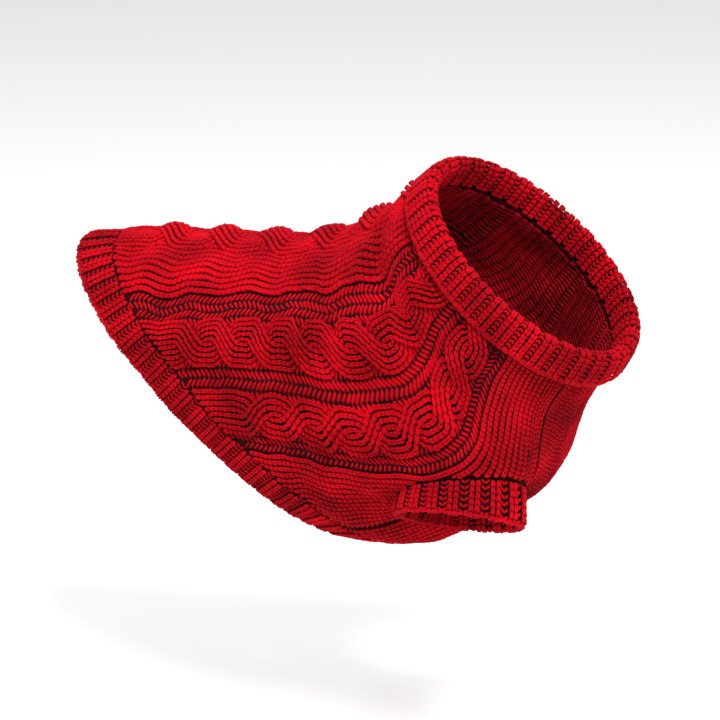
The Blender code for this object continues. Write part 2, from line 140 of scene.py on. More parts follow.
# The bands drift towards the seam near the hem and near the collar.
DRIFT_COLUMNS = ("along", "shift")
DRIFT = ((0.0, 0.05), (0.30, 0.05), (0.44, 0.012), (0.55, 0.0), (0.75, -0.008), (0.83, 0.014), (1.0, 0.03))
WAVE = 0.013                  # sway of the wales beside the spine cable, as a share of the half panel
WAVE_START = 0.108            # it is full here, and smaller by this share at its end
WAVE_FADE = 0.45
WAVE_END = 0.428
BELLY_WALES = 16
BELLY_PURL = 4                # this wale from the seam is a purl ladder on the chest
BELLY_LAP = 0.02              # the wales lie this share of a wale nearer the side seam
# Purl columns of the wrong side of each half panel: panel, start, end and tiers.
INNER_BANDS = (("back", 0.0, 0.33, 12), ("back", 0.33, 0.66, 12), ("back", 0.66, 0.99, 12),
               ("belly", 0.0, 1.0, 14))
PURL_REACH = 0.64             # of a purl bar to each side, in tier widths
OUTER_PURL = (0.60, 0.145, -1.2 * MM)   # slant in courses, radius in tier widths, and height
INNER_PURL = (0.22, 0.19, 0.0)
FLAT_STRAND = 0.90            # height of a strand's cross-section as a share of its width
ROUND_STRAND = 0.95
TALL_STRAND = 1.25
SWAY = 0.28 * MM              # uneven tension: round the body, along it and outward
CREEP = 0.35 * MM
SWELL = 0.22 * MM
NECK_MARGIN = 0.24 * MM
INNER_LIFT = 0.3 * MM         # the inner yarn's middle lies this far within the wall
EDGE_MARGIN = 0.8 * MM        # stitches keep this far inside a panel's edges
CALM_REACH = 14.0 * MM        # creases and rolls fade out this far from a leg hole
NECK_CALM = 0.05              # and over this share of along below the neck

RIB_REPEAT = 10.9 * MM
HEM_POINTS = 240
CUFF_POINTS = 72
COLLAR_POINTS = 120
# Band, its knit share, and in mm the lift of its ribs and of the ladders between them.
RIBS = (("hem", 0.60, 0.7, -0.5), ("collar", 0.72, 0.7, -0.1), ("cuff", 0.56, 0.7, -0.6))

SPINE_ROLL = 1.2              # mm that the cloth rises along the spine
SPINE_BUMP = 2.0              # and more at each crossing
SPINE_WIDTH = 17.0
SPINE_CALM = 0.06             # it fades out over this share of along below the neck
SIDE_ROLL = 1.5               # mm that the cloth rises under the middle of a side cable
SIDE_WIDTH = 0.45             # of that rise, as a share of the cable's band

# ---------------------------------------------------------------- curves through tables
def column(rows, columns, name):
    place = columns.index(name)
    return np.array([row[place] for row in rows], float)


def smooth_curve(keys, values, at):
    """Cubic curve through the values at the keys, read at the given places."""
    slopes = np.gradient(values, keys)
    at = np.asarray(at, float)
    low = np.clip(np.searchsorted(keys, at, side="right") - 1, 0, len(keys) - 2)
    span = keys[low + 1] - keys[low]
    part = (at - keys[low]) / span
    square = part * part
    cube = square * part
    start = (2 * cube - 3 * square + 1) * values[low]
    start_slope = (cube - 2 * square + part) * span * slopes[low]
    end = (3 * square - 2 * cube) * values[low + 1]
    end_slope = (cube - square) * span * slopes[low + 1]
    return start + start_slope + end + end_slope


def seam_around(along):
    return smooth_curve(column(SEAM, SEAM_COLUMNS, "along"), column(SEAM, SEAM_COLUMNS, "around"), along)


def table_row(rows, name):
    """What a table says after a name."""
    return next(row[1:] for row in rows if row[0] == name)


def running_sum(steps):
    return np.concatenate(((0.0,), np.cumsum(steps)))


def run_lengths(points):
    """Distance along a line of points from its first to each of them."""
    return running_sum(np.linalg.norm(np.diff(points, axis=0), axis=1))


def unit(vectors):
    return vectors / np.maximum(np.linalg.norm(vectors, axis=-1, keepdims=True), 1e-12)


def smoothstep(value):
    value = np.clip(value, 0.0, 1.0)
    return value * value * (3.0 - 2.0 * value)


# ---------------------------------------------------------------- the worn tube
TUBE_ROWS = 121
TUBE_COLUMNS = 241


def section_ring(along):
    """One section, spaced evenly round it from the spine over the right side."""
    keys = column(SECTIONS, SECTION_COLUMNS, "along")
    size = {}
    for name in SECTION_COLUMNS[2:]:
        size[name] = float(smooth_curve(keys, column(SECTIONS, SECTION_COLUMNS, name), along))
    angle = np.linspace(0.0, 2.0 * math.pi, 361)
    power = 2.0 / size["roundness"]
    upward = np.sign(np.cos(angle)) * np.abs(np.cos(angle)) ** power
    sideways = np.sign(np.sin(angle)) * np.abs(np.sin(angle)) ** power
    top = np.array((size["top_x"], size["top_z"])) * MM
    bottom = np.array((size["bottom_x"], size["bottom_z"])) * MM
    middle = (top + bottom) / 2.0
    half = (top - bottom) / 2.0
    x = middle[0] + half[0] * upward - TURN_CENTRE_X
    y = -size["half_width"] * MM * sideways * (1.0 + size["upper"] * upward)
    z = middle[1] + half[1] * upward
    turn = -math.radians(size["turn"])
    ring = np.stack((TURN_CENTRE_X + x * math.cos(turn) - y * math.sin(turn),
                     x * math.sin(turn) + y * math.cos(turn), z), axis=1)
    steps = np.linalg.norm(np.diff(ring, axis=0), axis=1)
    travelled = running_sum(steps) / steps.sum()
    even = np.linspace(0.0, 1.0, TUBE_COLUMNS)
    return np.stack([np.interp(even, travelled, ring[:, axis]) for axis in range(3)], axis=1)


def grid_read(grid, row, step):
    """A grid of vectors read between its points."""
    low_row = np.clip(row.astype(int), 0, grid.shape[0] - 2)
    low_step = np.clip(step.astype(int), 0, grid.shape[1] - 2)
    row_part = (row - low_row)[..., None]
    step_part = (step - low_step)[..., None]
    rear = grid[low_row, low_step] * (1 - step_part) + grid[low_row, low_step + 1] * step_part
    front = grid[low_row + 1, low_step] * (1 - step_part) + grid[low_row + 1, low_step + 1] * step_part
    return rear * (1 - row_part) + front * row_part


TUBE = np.array([section_ring(along) for along in np.linspace(0.0, 1.0, TUBE_ROWS)])


def tube_point(around, along):
    around, along = np.broadcast_arrays(np.asarray(around, float) % 1.0, np.asarray(along, float))
    return grid_read(TUBE, np.clip(along, 0.0, 1.0) * (TUBE_ROWS - 1), around * (TUBE_COLUMNS - 1))


def leg_ring(side, angle, drop=0.0, widen=0.0):
    """Leg ring: angle 0 is its front, a quarter turn its outer side; drop runs down the cuff."""
    forward = np.cos(angle)
    outward = np.sin(angle)
    tilt = math.radians(LEG_TILT)
    reach = (LEG_RADIUS_ACROSS + widen) * outward
    sag = np.maximum(0.0, np.cos(angle - math.radians(LEG_DIP_ANGLE))) ** 2
    shape = LEG_FRONT_RISE * forward - LEG_DIP * sag
    back = 0.0 if side == RIGHT else LEFT_LEG_BACK
    fade = 1.0 - drop / CUFF_HEIGHT
    x = LEG_CENTRE[0] - back + (LEG_RADIUS_ALONG + widen) * forward
    y = LEG_CENTRE[1] - reach * math.cos(tilt) - CUFF_SPLAY * drop
    z = LEG_CENTRE[2] + reach * math.sin(tilt) + shape * fade - drop
    return np.stack((x, side * y, z), axis=-1)


class LegHole:
    """A leg hole's edge on the tube, counting around over its own side from the spine."""

    def __init__(self, side):
        angle = np.linspace(-math.pi, math.pi, 73)[:-1]
        around, along = np.meshgrid(np.linspace(0.2, 0.5, 121), np.linspace(0.5, 1.0, 161))
        surface_points = tube_point(side * around, along)
        places = []
        for point in leg_ring(side, angle):
            nearest = np.argmin(((surface_points - point) ** 2).sum(axis=-1))
            places.append((around.flat[nearest], along.flat[nearest]))
        places = np.array(places)
        for _ in range(8):
            places = 0.5 * places + 0.25 * (np.roll(places, 1, axis=0) + np.roll(places, -1, axis=0))
        self.middle = places.mean(axis=0)
        forward = (places[:, 1] - self.middle[1]) * CHART_LENGTH
        upward = -(places[:, 0] - self.middle[0]) * CHART_GIRTH
        bearing = np.unwrap(np.arctan2(upward, forward))
        distance = np.hypot(forward, upward)
        self.bearing = np.append(bearing, bearing[0] + 2.0 * math.pi)
        self.distance = np.append(distance, distance[0])
        self.angle = np.append(angle, angle[0] + 2.0 * math.pi)

    def polar(self, around, along):
        """Distance from the middle, the hole's own radius that way, ring angle and bearing."""
        forward = (np.asarray(along, float) - self.middle[1]) * CHART_LENGTH
        upward = -(np.asarray(around, float) - self.middle[0]) * CHART_GIRTH
        first = self.bearing[0]
        bearing = (np.arctan2(upward, forward) - first) % (2.0 * math.pi) + first
        radius = np.interp(bearing, self.bearing, self.distance)
        angle = np.interp(bearing, self.bearing, self.angle)
        return np.hypot(forward, upward), radius, angle, bearing

    def place(self, bearing, radius):
        around = self.middle[0] - radius * np.sin(bearing) / CHART_GIRTH
        along = self.middle[1] + radius * np.cos(bearing) / CHART_LENGTH
        return around, along


LEG_HOLES = {side: LegHole(side) for side in (RIGHT, LEFT)}


def hole_distance(around, along):
    """How far outside the nearer leg hole's edge a place is, negative inside."""
    around = np.asarray(around, float) % 1.0
    best = None
    for side, hole in LEG_HOLES.items():
        near = around if side == RIGHT else 1.0 - around
        distance, radius, _, _ = hole.polar(near, along)
        gap = distance - radius
        best = gap if best is None else np.minimum(best, gap)
    return best


def body_point(around, along):
    """Outer face of the worn body: the tube, swollen out to each leg ring."""
    around = np.asarray(around, float) % 1.0
    point = tube_point(around, along)
    for side, hole in LEG_HOLES.items():
        near = around if side == RIGHT else 1.0 - around
        distance, radius, angle, bearing = hole.polar(near, along)
        edge_around, edge_along = hole.place(bearing, radius)
        edge = tube_point(side * edge_around, edge_along)
        outerness = 0.5 + 0.5 * np.sin(bearing)
        reach = LEG_REACH_INNER + (LEG_REACH_OUTER - LEG_REACH_INNER) * outerness
        away = np.clip((distance - radius) / reach, 0.0, 1.0)
        weight = (1.0 - away) ** 2 * (1.0 + 2.0 * away)
        point = point + (leg_ring(side, angle) - edge) * weight[..., None]
    return point


# ---------------------------------------------------------------- creases
CREASE_BEND = 0.008           # how fast a crease curves away from its heading
# Soft ridges (height above 0) and troughs on one side: around and along of the middle, heading in degrees
# from the body's length, then half length, half width and height in mm.
CREASES = (
    (RIGHT, 0.300, 0.640, 62, 30, 8, 1.6),
    (RIGHT, 0.315, 0.585, 74, 26, 7, -1.4),
    (RIGHT, 0.330, 0.545, 66, 24, 8, 1.3),
    (RIGHT, 0.255, 0.905, -28, 30, 7, -1.5),
    (RIGHT, 0.215, 0.930, -18, 26, 6, 1.3),
    (RIGHT, 0.120, 0.866, 86, 32, 8, -3.2),
    (RIGHT, 0.115, 0.815, 82, 32, 9, 2.0),
    (RIGHT, 0.100, 0.600, 80, 30, 12, -1.0),
    (LEFT, 0.295, 0.600, 58, 32, 8, 1.7),
    (LEFT, 0.320, 0.540, 70, 25, 7, -1.5),
    (LEFT, 0.245, 0.890, -24, 28, 8, -1.4),
    (LEFT, 0.200, 0.940, -14, 24, 6, 1.2),
    (LEFT, 0.110, 0.845, 80, 28, 6, -2.1),
    (LEFT, 0.100, 0.800, 86, 24, 8, 1.2),
    (LEFT, 0.090, 0.640, 82, 30, 9, -1.2),
    (LEFT, 0.130, 0.450, 74, 34, 11, 1.1),
    (RIGHT, 0.470, 0.760, 8, 26, 7, 1.6),
    (LEFT, 0.460, 0.720, -6, 24, 7, -1.4),
    (RIGHT, 0.455, 0.935, 20, 20, 7, -1.3),
)


def calm(around, along):
    """1 on open cloth, falling to 0 at the leg holes and the neck seam."""
    return smoothstep(hole_distance(around, along) / CALM_REACH) * smoothstep((1.0 - along) / NECK_CALM)


def crease_height(around, along):
    """Height of all creases at places counted from the spine over the right side."""
    total = np.zeros(np.broadcast(around, along).shape)
    for side, middle, place, heading, long, wide, height in CREASES:
        away = (side * np.asarray(around) - middle + 0.5) % 1.0 - 0.5
        up = -away * CHART_GIRTH / MM
        forward = (along - place) * CHART_LENGTH / MM
        turn = math.radians(heading)
        lengthwise = forward * math.cos(turn) + up * math.sin(turn)
        across = -forward * math.sin(turn) + up * math.cos(turn)
        bend = across + CREASE_BEND * lengthwise ** 2
        total += height * np.exp(-(lengthwise / long) ** 2 - (bend / wide) ** 2)
    return total * calm(around, along) * MM


def spine_phase(along):
    """Cells of the spine cable from its first crossing to a place along."""
    _, first, cell = CABLES[0][:3]
    spine_along = np.linspace(0.0, 1.0, 201)
    travelled = run_lengths(body_point(np.zeros(201), spine_along)) / MM
    return (np.interp(along, spine_along, travelled) - np.interp(first, spine_along, travelled)) / cell


def spine_swell(around, along):
    """Height of the roll that the spine cable makes along the back, higher where its strands cross."""
    phase = spine_phase(along)
    away = ((np.asarray(around) + 0.5) % 1.0 - 0.5) * CHART_GIRTH / MM
    begun = smoothstep(phase + 1.0)
    height = SPINE_ROLL + SPINE_BUMP * begun * (0.5 + 0.5 * np.cos(2.0 * math.pi * phase))
    return height * np.exp(-(away / SPINE_WIDTH) ** 2) * smoothstep((1.0 - along) / SPINE_CALM) * MM


def cable_roll(around, along):
    """Height of the rolls that the side cables make, worn the same on both sides."""
    size = np.abs((np.asarray(around) + 0.5) % 1.0 - 0.5) / seam_around(along)
    total = np.zeros(size.shape)
    for name, _, start, end, _ in BANDS:
        if name in ("upper_cable", "lower_cable"):
            middle = 0.5 * (start + end) + drift(along)
            total += SIDE_ROLL * np.exp(-((size - middle) / (SIDE_WIDTH * (end - start))) ** 2)
    return total * calm(around, along) * MM


def drift(along):
    """How far the bands move towards the side seam, as a share of the half panel."""
    return np.interp(along, column(DRIFT, DRIFT_COLUMNS, "along"), column(DRIFT, DRIFT_COLUMNS, "shift"))


# ---------------------------------------------------------------- the surface as a grid
GRID_ROWS = 401
GRID_STEPS = 901
GRID_FIRST = -0.55            # around of the grid's first column; its last is 2.2 further
GRID_SPAN = 2.2


def grid_normals(points):
    return unit(np.cross(np.gradient(points, axis=1), np.gradient(points, axis=0)))


def make_surface():
    around = GRID_FIRST + GRID_SPAN * np.linspace(0.0, 1.0, GRID_STEPS)
    around, along = np.meshgrid(around, np.linspace(0.0, 1.0, GRID_ROWS))
    points = body_point(around, along)
    height = crease_height(around, along) + spine_swell(around, along) + cable_roll(around, along)
    points = points + grid_normals(points) * height[..., None]
    return points, grid_normals(points)


SURFACE, SURFACE_NORMALS = make_surface()


def surface(around, along):
    """Outer face and its outward direction at places on the body."""
    around, along = np.broadcast_arrays(np.asarray(around, float), np.asarray(along, float))
    row = np.clip(along, 0.0, 1.0) * (GRID_ROWS - 1)
    step = (around - GRID_FIRST) / GRID_SPAN * (GRID_STEPS - 1)
    return grid_read(SURFACE, row, step), unit(grid_read(SURFACE_NORMALS, row, step))


def hem_along(around, forward=0.0):
    """Where a line along the body crosses the hem plane, moved forward by the given distance."""
    around = np.asarray(around, float)
    top = np.array(HEM_TOP)
    slant = unit(np.array(HEM_BOTTOM) - top)
    facing = np.array((-slant[1], slant[0]))
    places = np.linspace(0.0, 1.0, 241)
    grid_around, grid_along = np.meshgrid(around.ravel(), places, indexing="ij")
    points, _ = surface(grid_around, grid_along)
    ahead = (points[..., 0] - top[0]) * facing[0] + (points[..., 2] - top[1]) * facing[1] - forward
    first = np.argmax(ahead > 0.0, axis=1)
    rows = np.arange(len(first))
    before = ahead[rows, first - 1]
    after = ahead[rows, first]
    found = places[first - 1] + (places[first] - places[first - 1]) * before / (before - after)
    return found.reshape(around.shape)


HEM_TABLE_AROUND = np.linspace(-0.5, 0.5, 241)
HEM_SEAM_TABLE = hem_along(HEM_TABLE_AROUND, HEM_WIDTH)


def hem_seam_along(around):
    """Along of the hem seam, from a table worked out once."""
    wrapped = (np.asarray(around) + 0.5) % 1.0 - 0.5
    return np.interp(wrapped, HEM_TABLE_AROUND, HEM_SEAM_TABLE)


# ---------------------------------------------------------------- strands of yarn
class Yarn:
    """Collects strands and makes one mesh of them."""

    def __init__(self):
        self.points = []
        self.chance = np.random.default_rng(SEED)

    def add(self, centres, normals, radius, flatness):
        """centres and normals: strands x (RINGS + 2) x 3, tips first and last; radius: one a strand."""
        if len(centres) == 0:
            return
        tangents = unit(np.gradient(centres, axis=1))
        sideways = unit(np.cross(normals, tangents))
        upward = unit(np.cross(tangents, sideways))
        turn = 2.0 * math.pi * np.arange(SIDES) / SIDES
        radius = np.broadcast_to(np.asarray(radius, float).reshape(-1, 1, 1, 1), (len(centres), 1, 1, 1))
        radius = radius * self.chance.uniform(*PLUMPNESS, radius.shape)
        centres = centres + self.chance.normal(0.0, UNEVEN, (len(centres), 1, 3))
        rings = centres[:, 1:-1, None, :]
        rings = rings + radius * (sideways[:, 1:-1, None, :] * np.cos(turn)[None, None, :, None]
                                  + upward[:, 1:-1, None, :] * flatness * np.sin(turn)[None, None, :, None])
        rings = rings.reshape(len(centres), -1, 3)
        self.points.append(np.concatenate((centres[:, :1], rings, centres[:, -1:]), axis=1))

    def triangles(self):
        """Corner numbers of one strand, and the place round and along the strand of each corner."""
        last = 1 + RINGS * SIDES
        base = last - SIDES
        corners = []
        places = []
        for side in range(SIDES):
            after = (side + 1) % SIDES
            corners.append((0, 1 + after, 1 + side))
            places.append(((side + 0.5, 0.0), (side + 1, 1.0), (side, 1.0)))
            for ring in range(RINGS - 1):
                under = 1 + ring * SIDES
                over = under + SIDES
                corners.append((under + side, under + after, over + after))
                places.append(((side, ring + 1), (side + 1, ring + 1), (side + 1, ring + 2)))
                corners.append((under + side, over + after, over + side))
                places.append(((side, ring + 1), (side + 1, ring + 2), (side, ring + 2)))
            corners.append((base + side, base + after, last))
            places.append(((side, RINGS), (side + 1, RINGS), (side + 0.5, RINGS + 1)))
        places = np.array(places, float) / np.array((SIDES, RINGS + 1))
        return np.array(corners), places

    def mesh(self, name):
        points = np.concatenate(self.points)
        per_strand = points.shape[1]
        corners, places = self.triangles()
        faces = (np.arange(len(points))[:, None, None] * per_strand + corners[None]).reshape(-1, 3)
        made = bpy.data.meshes.new(name)
        made.vertices.add(points.shape[0] * per_strand)
        made.vertices.foreach_set("co", points.reshape(-1).astype(np.float32))
        made.loops.add(faces.size)
        made.loops.foreach_set("vertex_index", faces.reshape(-1).astype(np.int32))
        made.polygons.add(len(faces))
        made.polygons.foreach_set("loop_start", np.arange(0, faces.size, 3, dtype=np.int32))
        made.update(calc_edges=True)
        layer = made.uv_layers.new(name="ply")
        spread = np.broadcast_to(places[None], (len(points),) + places.shape)
        layer.data.foreach_set("uv", spread.reshape(-1).astype(np.float32))
        made.shade_smooth()
        return made


def bar(reach, bend, lean, share, low, high):
    """Across, row and rise in mm of a bar of yarn at its tips and rings, as stitches have between wales."""
    return np.array(((-reach, -bend, bend, reach), (-lean, -share * lean, share * lean, lean),
                     (low, high, high, low)))


# ---------------------------------------------------------------- courses and bands
class Courses:
    """Turns a count of courses along a line on the body into a place along."""

    def __init__(self, place, middle):
        self.along_keys = np.linspace(0.0, 1.0, 401)
        points, _ = surface(place(middle, self.along_keys), self.along_keys)
        travelled = run_lengths(points)
        self.travelled = travelled - np.interp(ROWS_FROM, self.along_keys, travelled)

    def along(self, row):
        return np.interp(row * ROW, self.travelled, self.along_keys)

    def row_at(self, along):
        return float(np.interp(along, self.along_keys, self.travelled)) / ROW

    def rows(self):
        """All courses from tail to neck."""
        return np.arange(int(self.row_at(0.0)), int(self.row_at(1.0)) + 2, dtype=float)


def back_around(side, kappa, along):
    """Around of a place counted from 0 on the spine to 1 on the side seam."""
    size = np.abs(kappa)
    weight = np.clip(4.0 * size * (1.0 - size), 0.0, 1.0) * smoothstep((size - 0.1) / 0.2)
    return side * (kappa + weight * drift(along)) * seam_around(along)


def belly_around(side, share, along):
    """Around of a place counted from 0 at the side seam to 1 in the middle of the belly."""
    seam = seam_around(along)
    return side * (seam + (0.5 - seam) * share)


def on_cloth(around, along):
    """True where a stitch lies on a panel, clear of hem seam, neck seam and leg holes."""
    clear_hem = along > hem_seam_along(around) + EDGE_MARGIN / CHART_LENGTH
    clear_leg = hole_distance(around, along) > EDGE_MARGIN
    return clear_hem & clear_leg & (along < 1.0 - NECK_MARGIN / CHART_LENGTH)


def uneven(around, along):
    """Slow unevenness of hand tension: shifts in around and along, and in height, all small."""
    x = along * CHART_LENGTH / MM
    y = around * CHART_GIRTH / MM
    sway = np.sin(0.23 * x + 1.7 * np.sin(0.061 * y)) + 0.7 * np.sin(0.41 * x - 0.17 * y + 0.8)
    creep = np.sin(0.19 * y + 0.07 * x) + 0.6 * np.sin(0.37 * y - 0.11 * x + 2.1)
    swell = np.sin(0.15 * x + 0.21 * y + 0.5) + 0.8 * np.sin(0.33 * x - 0.27 * y)
    return SWAY * sway / CHART_GIRTH, CREEP * creep / CHART_LENGTH, SWELL * swell


def lay(yarn, place, courses, across, row, height, wale_width, radius_share, flatness, inner=False):
    """Lays strands: across and row are strands x points, in the place's own units and courses."""
    along = courses.along(row)
    around = place(across, along)
    sway, creep, swell = uneven(around, along)
    around = around + sway
    along = along + creep
    height = height + swell
    point, normal = surface(around, along)
    left, _ = surface(place(across - 0.5 * wale_width, along), along)
    right, _ = surface(place(across + 0.5 * wale_width, along), along)
    width = np.linalg.norm(right - left, axis=-1)[:, across.shape[1] // 2]
    kept = on_cloth(around[:, 1], along[:, 1]) & on_cloth(around[:, -2], along[:, -2])
    if inner:
        centres = point - normal * (WALL - INNER_LIFT - height)[..., None]
        normal = -normal
    else:
        centres = point + normal * height[..., None]
    radius = np.clip(radius_share * width, *STRAND_RADII)
    yarn.add(centres[kept], normal[kept], radius[kept], flatness)


def knit_band(yarn, place, courses, start, end, wales, path=None):
    """Stockinette: two slanting legs for each stitch of each wale. A path moves the wales."""
    width = (end - start) / wales
    across, row, rise = LEG
    grid_row = courses.rows()[:, None] + row
    flatness = FLAT_STRAND if path is None else TALL_STRAND
    for wale in range(wales):
        centre = start + (wale + 0.5) * width
        shift, lift = (np.zeros_like(grid_row), 0.0) if path is None else path(wale, centre, grid_row)
        for lean in (-1.0, 1.0):
            lay(yarn, place, courses, centre + lean * across * width + shift, grid_row, rise * MM + lift,
                width, LEG_RADIUS, flatness)


def purl_band(yarn, place, courses, start, end, tiers, path=None, inner=False):
    """Reverse stockinette: one slanting bar a course in each tier, leaning the other way in the next."""
    width = (end - start) / tiers
    slant, radius, height = INNER_PURL if inner else OUTER_PURL
    for tier in range(tiers):
        across, row, rise = bar(PURL_REACH, 0.22, slant if tier % 2 else -slant, 0.45, -0.5, 0.35)
        grid_row = courses.rows()[:, None] + row
        grid_across = start + (tier + 0.5) * width + across * width + np.zeros_like(grid_row)
        if path is not None:
            grid_across = grid_across + path(grid_across, grid_row)
        lay(yarn, place, courses, grid_across, grid_row, rise * MM + height, width, radius, ROUND_STRAND,
            inner)


def cable_path(courses, name, wales, width):
    """Where a cable's wales run: two strands that change places at each crossing."""
    first, cell, turn, crown, over_lift, under_drop, swell = table_row(CABLES, name)
    first_row = courses.row_at(first)
    per_strand = wales // 2
    quarter = per_strand * width * 0.5

    def path(wale, centre, grid_row):
        phase = (grid_row - first_row) / (cell * MM / ROW)
        sign = 1.0 if wale < per_strand else -1.0
        within = -(wale % per_strand - (per_strand - 1) / 2.0) / (per_strand / 2.0)
        crossed = np.zeros_like(phase)
        for crossing in range(CROSSINGS):
            heading = -sign if crossing % 2 else sign
            middle = crossing + CROSSING_STAGGER * within * heading
            crossed += np.clip((phase - middle + CROSSING) / (2.0 * CROSSING), 0.0, 1.0)
        swing = np.cos(math.pi * crossed)
        over = sign * np.sin(math.pi * crossed) * turn
        whole = np.clip(phase + 0.5, 0.0, 1.0)
        pinch = 1.0 - CABLE_PINCH * whole * np.cos(math.pi * phase) ** 4
        shift = (-sign * quarter * swing - within * quarter) * pinch + within * quarter + sign * quarter
        lift = CABLE_RISE + crown * (1.0 - within * within)
        lift = lift + over * np.where(over > 0.0, over_lift, under_drop)
        return shift, (lift + swell * whole * np.cos(math.pi * phase) ** 2) * MM

    return path


def wave_path(courses):
    """Sideways sway of the wales beside the spine cable, which its crossings pull in and let out."""
    def path(across, grid_row):
        fade = 1.0 - WAVE_FADE * (across - WAVE_START) / (WAVE_END - WAVE_START)
        phase = spine_phase(courses.along(grid_row))
        return -WAVE * fade * smoothstep(phase + 1.0) * np.cos(2.0 * math.pi * phase)

    return path


def make_back_yarn():
    """The whole back: cables, wales and gutters on both sides of the spine."""
    pieces = {word: Yarn() for word in ("spine", "right_upper", "right_lower", "left_upper", "left_lower")}
    for side, word in ((RIGHT, "right"), (LEFT, "left")):
        place = partial(back_around, side)
        for name, kind, start, end, wales in BANDS:
            if name == "spine_cable" and side == LEFT:
                continue
            courses = Courses(place, 0.5 * (start + end))
            half = word + ("_upper" if end < 0.6 else "_lower")
            band = (pieces["spine" if name == "spine_cable" else half], place, courses, start, end, wales)
            sway = wave_path(courses)
            if kind == "cable":
                knit_band(*band, cable_path(courses, name, wales, (end - start) / wales))
            elif kind == "purl":
                purl_band(*band, sway if name == "upper_gutter" else None)
            elif name == "back_wales":
                knit_band(*band, lambda wale, centre, row: (sway(centre, row), 0.0))
            else:
                knit_band(*band)
    return pieces


def make_belly_yarn():
    yarn = Yarn()
    width = 1.0 / BELLY_WALES
    for side in (RIGHT, LEFT):
        place = partial(belly_around, side)
        for wale in range(BELLY_WALES):
            start = wale * width
            courses = Courses(place, start + 0.5 * width)
            if wale == BELLY_PURL:
                purl_band(yarn, place, courses, start, start + width, 1)
            else:
                lap = BELLY_LAP * width
                knit_band(yarn, place, courses, start - lap, start + width - lap, 1)
    return yarn


def make_inner_yarn():
    """The wrong side, seen through the neck and the hem: rows of purl bumps."""
    yarns = {"back": Yarn(), "belly": Yarn()}
    for side in (RIGHT, LEFT):
        for panel, start, end, tiers in INNER_BANDS:
            place = partial(back_around if panel == "back" else belly_around, side)
            courses = Courses(place, 0.5 * (start + end))
            purl_band(yarns[panel], place, courses, start, end, tiers, inner=True)
    return yarns["back"], yarns["belly"]


# ---------------------------------------------------------------- ribbed bands
RIB_LEG_SPREAD = 1.12         # ribs are tighter than stockinette: legs reach across and swell by so much more
RIB_LEG_PLUMP = 1.1
RIB_RADIUS = 1.15 * MM
LADDER_RADIUS = 0.70 * MM
EDGE_RADIUS = 0.85 * MM
EDGE_LOOP = 1.25 * ROW
EDGE_LIFT = 0.2               # mm

# Section of each band. Share of the way from its seam to its free edge or fold, and outward in walls.
HEM_SECTION = ((1.0, -0.15), (0.75, -0.10), (0.5, -0.10), (0.25, -0.12), (0.09, -0.18), (0.0, -0.5),
               (0.09, -0.82), (0.25, -0.9), (0.5, -0.95), (0.97, -0.95))    # this one counts from the edge
CUFF_SECTION = ((0.0, -0.15), (0.25, -0.05), (0.5, 0.0), (0.75, 0.0), (0.93, -0.1), (1.0, -0.45),
                (0.93, -0.8), (0.75, -0.8), (0.5, -0.8), (0.03, -0.85))
COLLAR_SECTION = ((0.10, 1.0), (0.30, 1.0), (0.50, 1.0), (0.70, 0.98), (0.86, 0.9), (0.95, 0.6),
                  (0.985, 0.2), (0.95, -0.3), (0.86, -0.75), (0.70, -0.9), (0.5, -0.95), (0.3, -0.95),
                  (0.03, -0.9))
# Aprons close each band's seam from inside the panels: how far past the seam, and how deep.
HEM_APRON = 1.20              # in hem widths from the edge
CUFF_APRON = 2.5 * MM
COLLAR_APRON = 4.0 * MM
APRON_DEPTH = 0.6 * MM
COLLAR_APRON_DEPTH = 2.6 * MM
SHELL_DEPTH = 1.3 * MM        # a band's sheet lies this far under its face
SHELL_THICKNESS = 0.5 * MM


def lay_band(yarn, point_at, share, lines, rise, radius):
    """Lays strands on a band: share round and line are arrays whose last axis runs along a strand."""
    share, lines = np.broadcast_arrays(share, lines)
    point, normal = point_at(share % 1.0, lines)
    centres = point + normal * (rise * MM)[..., None]
    shape = (-1, centres.shape[-2], 3)
    yarn.add(centres.reshape(shape), normal.reshape(shape), radius, ROUND_STRAND)


def rib_band(yarn, point_at, girth, rows, knit_share, rib_lift, ladder_lift):
    """Two-and-two rib on a band. point_at(share round, row) gives points and outward directions."""
    ribs = int(round(girth / RIB_REPEAT))
    repeat = 1.0 / ribs
    wale = repeat * knit_share / 2.0
    rib = (np.arange(ribs) * repeat)[:, None, None]
    for offset in (-0.5, 0.5):
        for lean in (-1.0, 1.0):
            across, row, rise = LEG
            share = rib + offset * wale + lean * across * RIB_LEG_SPREAD * wale
            radius = min(RIB_LEG_PLUMP * LEG_RADIUS * girth * wale, RIB_RADIUS)
            lay_band(yarn, point_at, share, rows[None, :, None] + row, rise + rib_lift, radius)
    purl = repeat * (1.0 - knit_share)
    for tier, lean in ((-0.5, 0.40), (0.5, -0.40)):
        across, row, rise = bar(0.75, 0.25, lean, 0.4, -0.4, 0.3)
        share = rib + 0.5 * repeat + tier * 0.5 * purl + across * purl * 0.5
        lay_band(yarn, point_at, share, rows[None, :, None] + row, rise + ladder_lift, LADDER_RADIUS)


def edge_chain(yarn, point_at, girth, row_of_edge):
    """The cast-off edge of a band: a chain of slanting loops along it."""
    loops = int(round(girth / EDGE_LOOP))
    pitch = 1.0 / loops
    for row_shift, lean in ((-0.22, 0.30), (0.26, -0.30)):
        across, row, rise = bar(0.85, 0.3, lean, 0.4, -0.5, 0.3)
        share = (np.arange(loops) * pitch)[:, None] + across * pitch
        lay_band(yarn, point_at, share, row_of_edge + row_shift + row, rise + EDGE_LIFT, EDGE_RADIUS)


